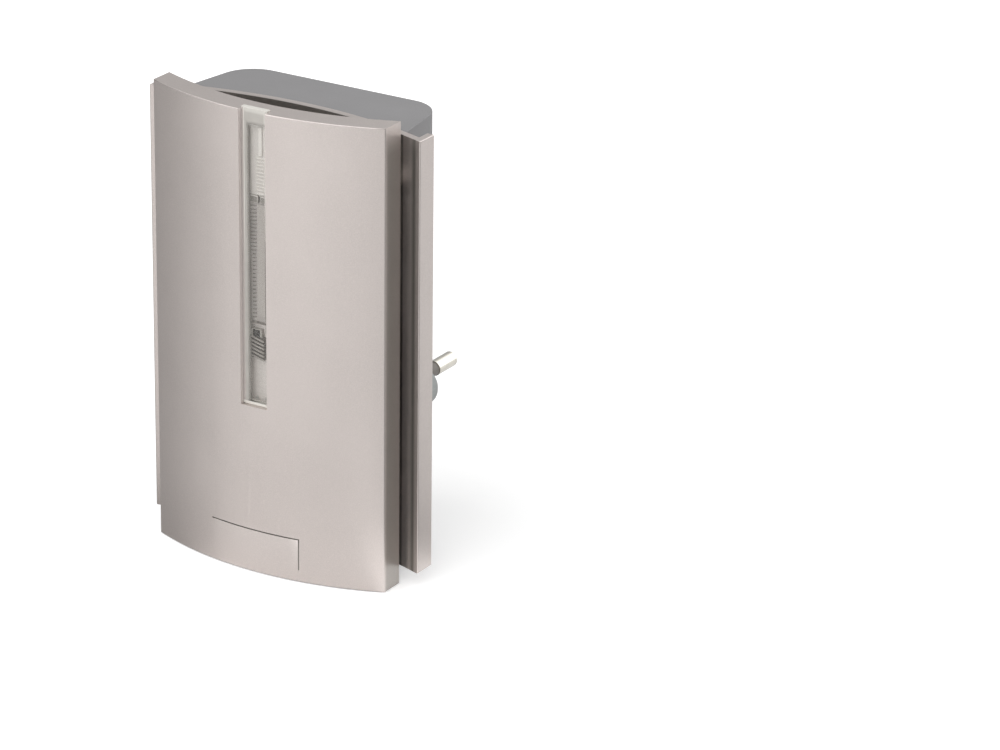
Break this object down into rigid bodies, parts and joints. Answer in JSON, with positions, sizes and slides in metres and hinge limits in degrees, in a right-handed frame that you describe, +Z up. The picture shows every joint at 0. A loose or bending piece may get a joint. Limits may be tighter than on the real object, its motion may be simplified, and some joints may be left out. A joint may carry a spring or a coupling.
{
  "type": "doorbell chime box",
  "caption": "Plug-in wireless door chime: bowed front panel with a light window over a dished frame, speaker and circuit in a rear housing with a two-pin plug.",
  "frame": {"origin": "middle of the plug's end face, which meets the bottom of a wall socket", "axes": "+Y into the wall socket along the pins, +Z up, the front panel faces -Y"},
  "size_m": [0.0786, 0.0765, 0.1204],
  "materials": {
    "champagne_paint": "satin metallic paint over moulded plastic",
    "clear_window": "clear polycarbonate",
    "frosted_guide": "frosted acrylic",
    "white_plastic": "plain moulded",
    "grey_plastic": "fine matte grain",
    "plug_plastic": "fine matte grain",
    "sleeve_plastic": "plain moulded",
    "button_plastic": "satin",
    "nickel_brass": "bright nickel plate",
    "tinned_brass": "bare",
    "zinc_steel": "zinc plated",
    "green_board": "solder mask over glass epoxy",
    "white_board": "white solder mask over glass epoxy",
    "blue_board": "solder mask over glass epoxy",
    "black_resin": "moulded epoxy",
    "smoked_led": "smoked lens",
    "film_box": "moulded case",
    "can_sleeve": "shrunk sleeve over an aluminium can",
    "ceramic_coat": "lacquer",
    "crystal_can": "drawn can",
    "red_wire": "insulation over copper",
    "black_wire": "insulation over copper",
    "basket_steel": "zinc plated pressing",
    "ferrite": "sintered",
    "cone_paper": "pressed pulp",
    "surround_rubber": "coated cloth",
    "coil_copper": "wound enamelled copper"
  },
  "bodies": {
    "chime": {"front_panel": "champagne_paint", "lens_cover": "clear_window", "light_guide": "frosted_guide", "light_tray": "white_plastic", "tray_screws": "zinc_steel", "led_board": "white_board", "indicator_led": "smoked_led", "light_baffle": "black_resin", "front_frame": "champagne_paint", "panel_screws": "zinc_steel", "rear_housing": "grey_plastic", "housing_screws": "zinc_steel", "plug_body": "plug_plastic", "live_pin": "nickel_brass", "neutral_pin": "nickel_brass", "pin_sleeves": "sleeve_plastic", "pin_tabs": "tinned_brass", "mains_wires": "red_wire", "main_board": "green_board", "board_screws": "zinc_steel", "film_capacitor": "film_box", "reservoir_capacitor": "can_sleeve", "fuse_resistor": "ceramic_coat", "rectifier_diodes": "black_resin", "melody_chip": "black_resin", "crystal": "crystal_can", "receiver_module": "blue_board", "antenna_wire": "red_wire", "melody_switch": "black_resin", "volume_switch": "black_resin", "speaker_basket": "basket_steel", "speaker_magnet": "ferrite", "speaker_yoke": "basket_steel", "speaker_surround": "surround_rubber", "speaker_screws": "zinc_steel", "speaker_wires": "black_wire", "led_wires": "red_wire"},
    "melody_push": {"melody_button": "button_plastic", "melody_plunger": "white_plastic"},
    "volume_push": {"volume_button": "button_plastic", "volume_plunger": "white_plastic"},
    "cone": {"speaker_cone": "cone_paper", "voice_coil": "coil_copper", "dust_cap": "cone_paper"}
  },
  "joints": [
    {"name": "melody_press", "type": "slide", "parent": "chime", "child": "melody_push", "axis": [1, 0, 0], "range_m": [0, 0.0005], "stiffness_N_per_m": 2400},
    {"name": "volume_press", "type": "slide", "parent": "chime", "child": "volume_push", "axis": [1, 0, 0], "range_m": [0, 0.0005], "stiffness_N_per_m": 2400},
    {"name": "cone_vibration", "type": "slide", "parent": "chime", "child": "cone", "axis": [0, 1, 0], "range_m": [-0.0004, 0.0004], "stiffness_N_per_m": 1500}
  ]
}
